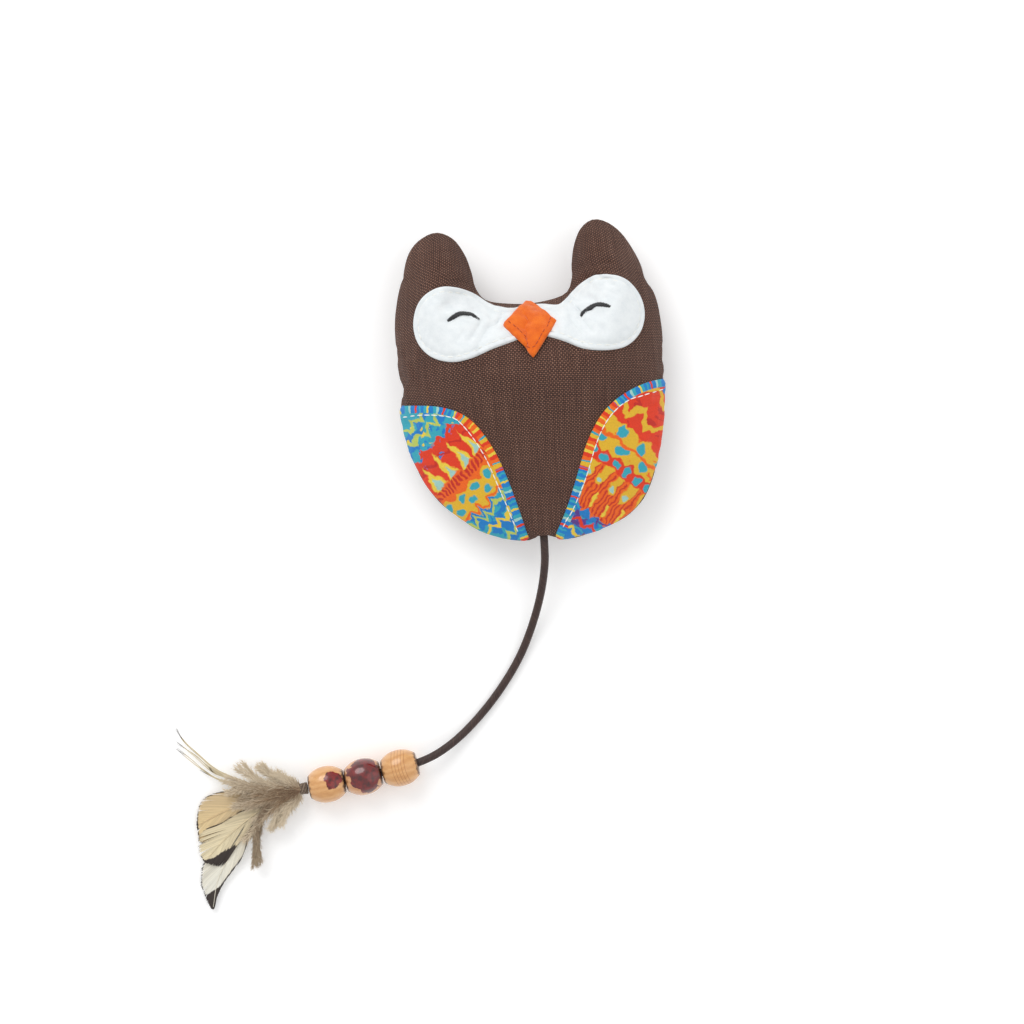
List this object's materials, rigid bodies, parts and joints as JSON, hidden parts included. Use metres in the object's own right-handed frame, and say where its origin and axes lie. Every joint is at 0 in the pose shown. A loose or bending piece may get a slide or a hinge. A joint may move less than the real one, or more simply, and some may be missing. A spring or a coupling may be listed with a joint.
{
  "type": "stuffed owl toy",
  "caption": "Small stuffed fabric owl with printed wings, on its back, with a cord from the bottom seam that carries wooden beads and a feather tuft.",
  "frame": {"origin": "centre of the flat patch on the back panel that the owl rests on, at floor level", "axes": "+Y from the cord up to the ears, +Z out of the face with the toy lying on its back, +X to the viewer's right"},
  "size_m": [0.1949, 0.2486, 0.0392],
  "materials": {
    "brown_canvas": "woven",
    "fibre_fill": "matte",
    "printed_cotton": "printed",
    "white_thread": "matte",
    "white_felt": "felt",
    "dark_thread": "satin",
    "orange_felt": "felt",
    "orange_thread": "matte",
    "brown_cord": "satin",
    "varnished_wood": "gloss",
    "red_varnished_wood": "gloss",
    "binding_thread": "matte",
    "tan_feather": "satin",
    "barred_feather": "satin",
    "grey_down": "matte"
  },
  "bodies": {
    "owl": {"front_panel": "brown_canvas", "back_panel": "brown_canvas", "stuffing": "fibre_fill", "cord_knot": "brown_cord", "left_wing": "printed_cotton", "right_wing": "printed_cotton", "left_wing_topstitch": "white_thread", "right_wing_topstitch": "white_thread", "eye_mask": "white_felt", "mask_stitching": "white_thread", "left_eye": "dark_thread", "right_eye": "dark_thread", "beak": "orange_felt", "beak_stitching": "orange_thread"},
    "tail": {"cord": "brown_cord", "quill_binding": "binding_thread"},
    "upper_bead_body": {"upper_bead": "varnished_wood"},
    "middle_bead_body": {"middle_bead": "red_varnished_wood"},
    "lower_bead_body": {"lower_bead": "varnished_wood"},
    "tuft": {"wisp_feather": "barred_feather", "tipped_feather": "barred_feather", "tan_feather_upper": "tan_feather", "tan_feather_lower": "tan_feather", "drooping_down": "grey_down", "lower_down": "grey_down", "upper_down": "grey_down"}
  },
  "joints": [
    {"name": "cord_swing", "type": "hinge", "parent": "owl", "child": "tail", "pos_m": [0, -0.0609, 0.015], "axis": [0, 0, 1], "range_deg": [-50, 60]},
    {"name": "upper_bead_spin", "type": "hinge", "parent": "tail", "child": "upper_bead_body", "pos_m": [-0.06095, -0.14095, 0.0069], "axis": [-0.9854, -0.1701, 0], "continuous": true},
    {"name": "middle_bead_spin", "type": "hinge", "parent": "tail", "child": "middle_bead_body", "pos_m": [-0.07497, -0.14321, 0.0069], "axis": [-0.989, -0.148, 0], "continuous": true},
    {"name": "lower_bead_spin", "type": "hinge", "parent": "tail", "child": "lower_bead_body", "pos_m": [-0.08896, -0.14496, 0.0069], "axis": [-0.995, -0.1, 0], "continuous": true},
    {"name": "tuft_swing", "type": "hinge", "parent": "tail", "child": "tuft", "pos_m": [-0.09761, -0.14583, 0.0069], "axis": [0, 0, 1], "range_deg": [-25, 25]}
  ]
}
